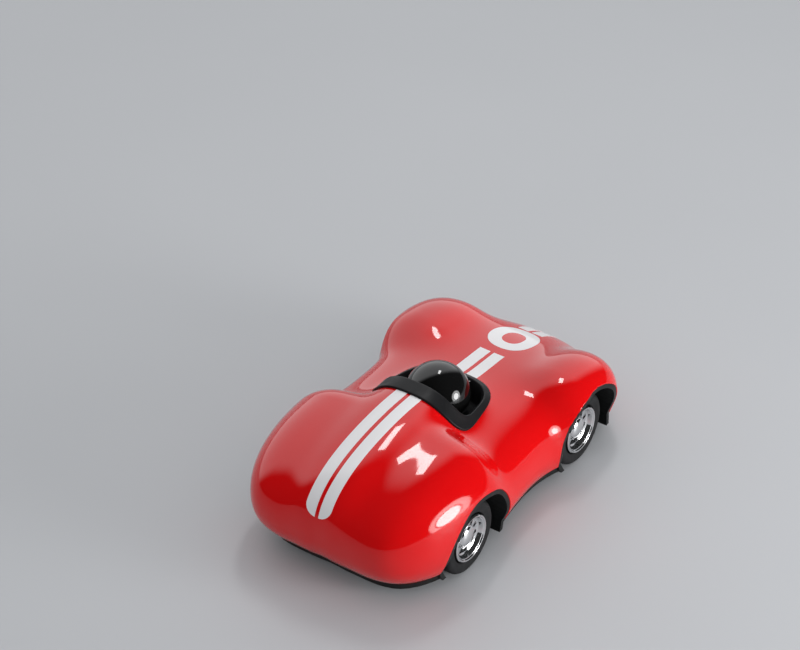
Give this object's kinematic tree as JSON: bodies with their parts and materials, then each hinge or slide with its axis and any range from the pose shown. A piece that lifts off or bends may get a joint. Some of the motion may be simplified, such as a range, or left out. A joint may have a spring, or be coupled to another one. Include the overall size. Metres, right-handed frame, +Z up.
{
  "type": "pull back toy racing car",
  "caption": "Glossy red pull back toy racer with twin white stripes, an open cockpit, a helmeted driver and a clockwork motor on the rear axle.",
  "frame": {"origin": "on the ground, below the middle of the car's length and on its centre plane", "axes": "+X forward towards the nose, +Y to the car's left, +Z up"},
  "size_m": [0.146, 0.0814, 0.0481],
  "materials": {
    "body_paint": "polished red, clear gloss",
    "base_plastic": "moulded satin black",
    "cockpit_plastic": "moulded satin black",
    "helmet_gloss": "polished black",
    "motor_plastic": "natural moulded plastic",
    "gear_plastic": "natural moulded plastic",
    "axle_steel": "drawn steel rod",
    "screw_steel": "zinc plated steel",
    "spring_steel": "blued spring strip",
    "tyre_rubber": "matte black rubber",
    "wheel_plastic": "moulded black",
    "trim_chrome": "bright vacuum plated",
    "stripe_print": "printed white, glossy"
  },
  "bodies": {
    "car_body": {"body_shell": "body_paint", "chassis": "base_plastic", "cockpit_surround": "cockpit_plastic", "driver_helmet": "helmet_gloss", "motor_case_left": "motor_plastic", "motor_case_right": "motor_plastic", "motor_screws": "screw_steel", "idler_spindle": "axle_steel", "base_screws": "screw_steel"},
    "rear_wheels": {"rear_axle": "axle_steel", "axle_gear": "gear_plastic", "tyre_rear_left": "tyre_rubber", "tyre_rear_right": "tyre_rubber", "wheel_rear_left": "wheel_plastic", "wheel_rear_right": "wheel_plastic", "trim_rear_left": "trim_chrome", "trim_rear_right": "trim_chrome"},
    "front_wheels": {"front_axle": "axle_steel", "tyre_front_left": "tyre_rubber", "tyre_front_right": "tyre_rubber", "wheel_front_left": "wheel_plastic", "wheel_front_right": "wheel_plastic", "trim_front_left": "trim_chrome", "trim_front_right": "trim_chrome"},
    "idler": {"idler_gear": "gear_plastic"},
    "spring_arbor": {"spring_gear": "gear_plastic", "mainspring": "spring_steel"}
  },
  "joints": [
    {"name": "rear_axle_spin", "type": "hinge", "parent": "car_body", "child": "rear_wheels", "pos_m": [-0.0357, 0, 0.0135], "axis": [0, 1, 0], "continuous": true},
    {"name": "front_axle_spin", "type": "hinge", "parent": "car_body", "child": "front_wheels", "pos_m": [0.0333, 0, 0.0135], "axis": [0, 1, 0], "continuous": true},
    {"name": "idler_spin", "type": "hinge", "parent": "car_body", "child": "idler", "pos_m": [-0.02908, 0, 0.02296], "axis": [0, 1, 0], "continuous": true},
    {"name": "spring_spin", "type": "hinge", "parent": "car_body", "child": "spring_arbor", "pos_m": [-0.01961, 0, 0.01634], "axis": [0, 1, 0], "continuous": true}
  ],
  "couplings": [
    {"joint": "idler_spin", "follows": "rear_axle_spin", "ratio": -0.4},
    {"joint": "spring_spin", "follows": "rear_axle_spin", "ratio": 0.16}
  ]
}
